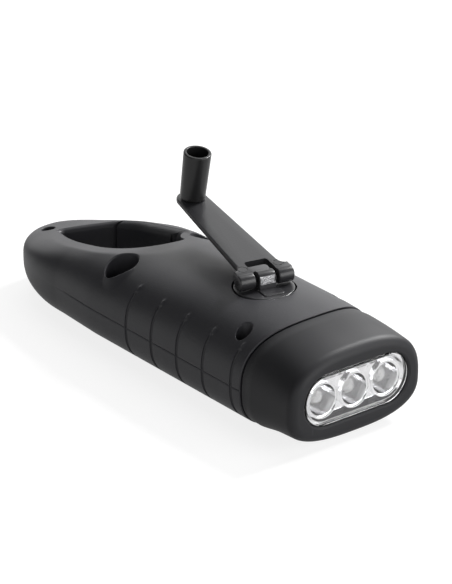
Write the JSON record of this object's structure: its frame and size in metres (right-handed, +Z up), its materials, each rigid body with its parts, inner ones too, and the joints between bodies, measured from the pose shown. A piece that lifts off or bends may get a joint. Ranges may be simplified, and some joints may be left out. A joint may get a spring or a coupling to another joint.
{
  "type": "hand crank flashlight",
  "caption": "Palm-size flashlight with a folding crank that drives a generator, a row of round LEDs behind a window, and a tail ring with a spring gate.",
  "frame": {"origin": "on the crank's spin axis, at the level of the flat underside", "axes": "+Z up along the crank's spin axis, -Y out of the lens, +Y towards the ring at the tail, +X towards the gate's side"},
  "size_m": [0.0538, 0.1652, 0.065],
  "materials": {
    "shell": "fine matte grain",
    "cap": "smooth soft touch",
    "crank": "satin",
    "knob": "satin",
    "lens": "clear and polished",
    "reflector": "bright metallised",
    "led": "clear resin over a pale die",
    "board": "green solder mask",
    "button": "matte",
    "solar_cell": "dark cell under clear resin",
    "battery_wrap": "shrink wrap",
    "gear": "moulded nylon",
    "winding": "enamelled copper wire",
    "steel": "zinc plated"
  },
  "bodies": {
    "housing": {"upper_shell": "shell", "lower_shell": "shell", "head_cap": "cap", "lens": "lens", "reflector": "reflector", "led_board": "board", "led_left": "led", "led_middle": "led", "led_right": "led", "case_screw_front_left": "steel", "case_screw_front_right": "steel", "case_screw_rear_left": "steel", "case_screw_rear_right": "steel", "case_screw_tail": "steel", "gear_plate": "steel", "plate_screw_1": "steel", "plate_screw_2": "steel", "plate_screw_3": "steel", "idler_axle_first": "steel", "idler_axle_second": "steel", "generator_stator": "winding", "battery": "battery_wrap", "circuit_board": "board", "tact_switch": "steel", "solar_panel": "solar_cell", "gate_spring": "steel"},
    "crank": {"crank_hub": "crank", "hub_screw": "steel", "crank_gear": "gear"},
    "arm": {"crank_arm": "crank", "hinge_pin": "steel", "knob_post": "crank"},
    "knob": {"crank_knob": "knob"},
    "gate_arm": {"gate": "shell", "gate_pin": "steel"},
    "first_idler": {"idler_first": "gear"},
    "second_idler": {"idler_second": "gear"},
    "rotor": {"generator_rotor": "steel"},
    "button": {"push_button": "button"}
  },
  "joints": [
    {"name": "crank_spin", "type": "hinge", "parent": "housing", "child": "crank", "pos_m": [0, 0, 0.0356], "axis": [0, 0, 1], "continuous": true},
    {"name": "arm_fold", "type": "hinge", "parent": "crank", "child": "arm", "pos_m": [0, 0, 0.0386], "axis": [0.9799, -0.1994, 0], "range_deg": [0, 156]},
    {"name": "knob_spin", "type": "hinge", "parent": "arm", "child": "knob", "pos_m": [0.01035, 0.05086, 0.04695], "axis": [-0.0011, -0.1629, 0.9866], "continuous": true},
    {"name": "gate_swing", "type": "hinge", "parent": "housing", "child": "gate_arm", "pos_m": [0.0198, 0.0662, 0.0145], "axis": [0, 0, 1], "range_deg": [0, 25], "stiffness_Nm_per_rad": 0.05, "springref_deg": -20.05},
    {"name": "first_idler_spin", "type": "hinge", "parent": "housing", "child": "first_idler", "pos_m": [0, 0.0201, 0.027], "axis": [0, 0, 1], "continuous": true},
    {"name": "second_idler_spin", "type": "hinge", "parent": "housing", "child": "second_idler", "pos_m": [-0.0065, 0.00108, 0.022], "axis": [0, 0, 1], "continuous": true},
    {"name": "rotor_spin", "type": "hinge", "parent": "housing", "child": "rotor", "pos_m": [0.00966, 0.00602, 0.012], "axis": [0, 0, 1], "continuous": true},
    {"name": "button_press", "type": "slide", "parent": "housing", "child": "button", "axis": [0, 0, 1], "range_m": [0, 0.0008], "stiffness_N_per_m": 400, "springref_m": -0.002}
  ],
  "couplings": [
    {"joint": "first_idler_spin", "follows": "crank_spin", "ratio": -4},
    {"joint": "second_idler_spin", "follows": "crank_spin", "ratio": 16},
    {"joint": "rotor_spin", "follows": "crank_spin", "ratio": -51.2}
  ]
}
